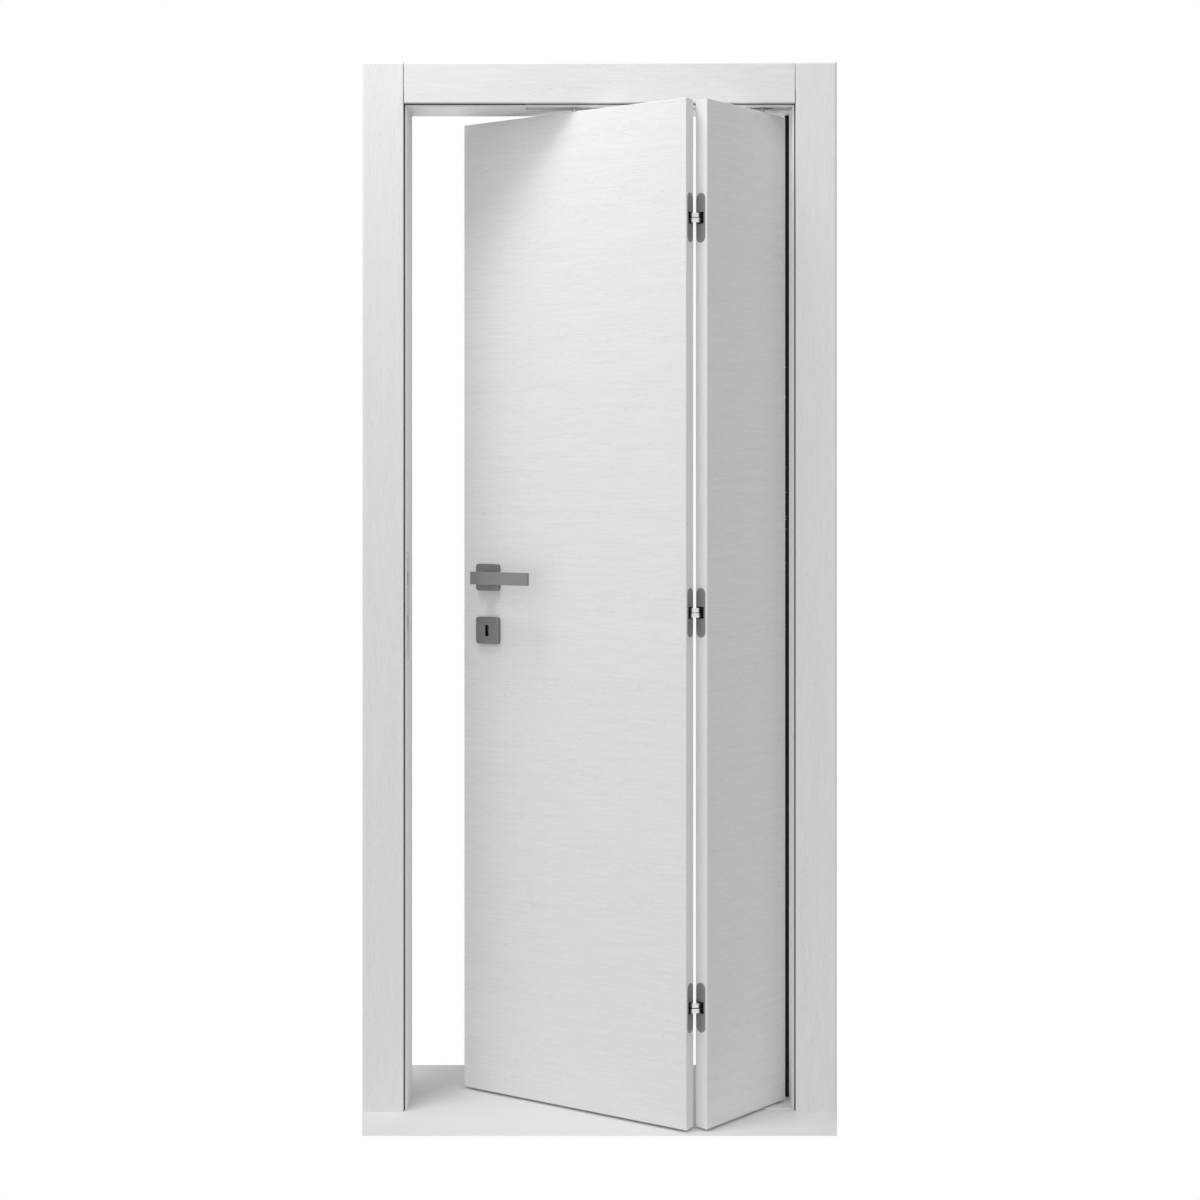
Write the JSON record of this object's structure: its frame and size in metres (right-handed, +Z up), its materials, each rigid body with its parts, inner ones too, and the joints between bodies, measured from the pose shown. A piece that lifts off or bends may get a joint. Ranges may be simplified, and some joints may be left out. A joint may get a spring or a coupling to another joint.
{
  "type": "bifold door",
  "caption": "Interior folding door set: a narrow and a wide flush leaf on concealed hinges fold inside a lined frame with flat casings, lever handle and head track.",
  "frame": {"origin": "on the floor, on the axis of the narrow leaf's jamb pivots, at the underside of the bottom pivot plate", "axes": "+X along the opening towards the pivot jamb, +Y through the wall away from the side that the leaves fold to, +Z up"},
  "size_m": [0.982, 0.315, 2.172],
  "materials": {
    "white_laminate": "white open-pore grain laminate on fibreboard",
    "white_edge": "white open-pore edge band",
    "timber": "planed softwood, hidden",
    "paper_core": "brown honeycomb paper, hidden",
    "black_brush": "black brush pile",
    "track_aluminium": "white lacquered",
    "zinc_plated_steel": "zinc plated",
    "white_painted_steel": "white lacquer",
    "grey_nylon": "moulded nylon",
    "hinge_body_metal": "die cast",
    "hinge_cover_metal": "satin grey",
    "hinge_link_metal": "satin silver",
    "satin_chrome": "satin chrome"
  },
  "bodies": {
    "frame": {"left_jamb": "white_laminate", "right_jamb": "white_laminate", "head_jamb": "white_laminate", "left_front_casing": "white_laminate", "right_front_casing": "white_laminate", "head_front_casing": "white_laminate", "left_rear_casing": "white_laminate", "right_rear_casing": "white_laminate", "head_rear_casing": "white_laminate", "pivot_jamb_brush_seal": "black_brush", "head_track": "track_aluminium", "track_screws": "zinc_plated_steel", "top_pivot_socket": "grey_nylon", "bottom_pivot_plate": "white_painted_steel", "bottom_pivot_pin": "zinc_plated_steel", "strike_plate": "satin_chrome", "strike_plate_screws": "zinc_plated_steel"},
    "narrow_leaf": {"narrow_leaf_front_skin": "white_laminate", "narrow_leaf_back_skin": "white_laminate", "narrow_leaf_timber_frame": "timber", "narrow_leaf_core": "paper_core", "narrow_leaf_edge_band": "white_edge", "top_pivot_pin": "zinc_plated_steel", "bottom_pivot_bush": "grey_nylon", "bottom_hinge_narrow_half": "hinge_body_metal", "middle_hinge_narrow_half": "hinge_body_metal", "top_hinge_narrow_half": "hinge_body_metal", "hinge_covers_narrow_leaf": "hinge_cover_metal", "hinge_screws_narrow_leaf": "zinc_plated_steel"},
    "hinge_links": {"bottom_hinge_links": "hinge_link_metal", "middle_hinge_links": "hinge_link_metal", "top_hinge_links": "hinge_link_metal"},
    "wide_leaf": {"wide_leaf_front_skin": "white_laminate", "wide_leaf_back_skin": "white_laminate", "wide_leaf_timber_frame": "timber", "wide_leaf_core": "paper_core", "wide_leaf_edge_band": "white_edge", "bottom_hinge_wide_half": "hinge_body_metal", "middle_hinge_wide_half": "hinge_body_metal", "top_hinge_wide_half": "hinge_body_metal", "hinge_covers_wide_leaf": "hinge_cover_metal", "hinge_screws_wide_leaf": "zinc_plated_steel", "guide_pin": "zinc_plated_steel", "lock_case": "zinc_plated_steel", "lock_faceplate": "satin_chrome", "lock_faceplate_screws": "zinc_plated_steel", "front_rosette": "satin_chrome", "rear_rosette": "satin_chrome", "front_escutcheon": "satin_chrome", "rear_escutcheon": "satin_chrome", "handle_bolts": "zinc_plated_steel"},
    "guide_roller": {"guide_roller": "grey_nylon"},
    "lever_set": {"front_lever": "satin_chrome", "rear_lever": "satin_chrome", "handle_spindle": "zinc_plated_steel", "lock_follower": "zinc_plated_steel"},
    "latch_bolt": {"latch_bolt": "grey_nylon"},
    "dead_bolt": {"dead_bolt": "zinc_plated_steel"}
  },
  "joints": [
    {"name": "narrow_leaf_pivot", "type": "hinge", "parent": "frame", "child": "narrow_leaf", "pos_m": [0, 0, 0], "axis": [0, 0, 1], "range_deg": [-46.2, 23.8]},
    {"name": "leaf_fold", "type": "hinge", "parent": "narrow_leaf", "child": "wide_leaf", "pos_m": [-0.1452, -0.12816, 0], "axis": [0, 0, 1], "range_deg": [-39.3, 76.1]},
    {"name": "hinge_link_turn", "type": "hinge", "parent": "narrow_leaf", "child": "hinge_links", "pos_m": [-0.1452, -0.12816, 0], "axis": [0, 0, 1], "range_deg": [-19.7, 38.1]},
    {"name": "guide_roller_spin", "type": "hinge", "parent": "wide_leaf", "child": "guide_roller", "pos_m": [-0.39097, -0.00596, 2.09], "axis": [0, 0, 1], "continuous": true},
    {"name": "lever_turn", "type": "hinge", "parent": "wide_leaf", "child": "lever_set", "pos_m": [-0.56713, 0.09493, 1.101], "axis": [0.497, 0.8678, 0], "range_deg": [0, 40], "stiffness_Nm_per_rad": 1.2, "springref_deg": -28.65},
    {"name": "latch_slide", "type": "slide", "parent": "wide_leaf", "child": "latch_bolt", "axis": [-0.8678, 0.497, 0], "range_m": [0, 0.009], "stiffness_N_per_m": 40, "springref_m": -0.01},
    {"name": "dead_bolt_throw", "type": "slide", "parent": "wide_leaf", "child": "dead_bolt", "axis": [-0.8678, 0.497, 0], "range_m": [0, 0.014]}
  ],
  "couplings": [
    {"joint": "leaf_fold", "follows": "narrow_leaf_pivot", "ratio": -1.645},
    {"joint": "hinge_link_turn", "follows": "narrow_leaf_pivot", "ratio": -0.82251}
  ]
}
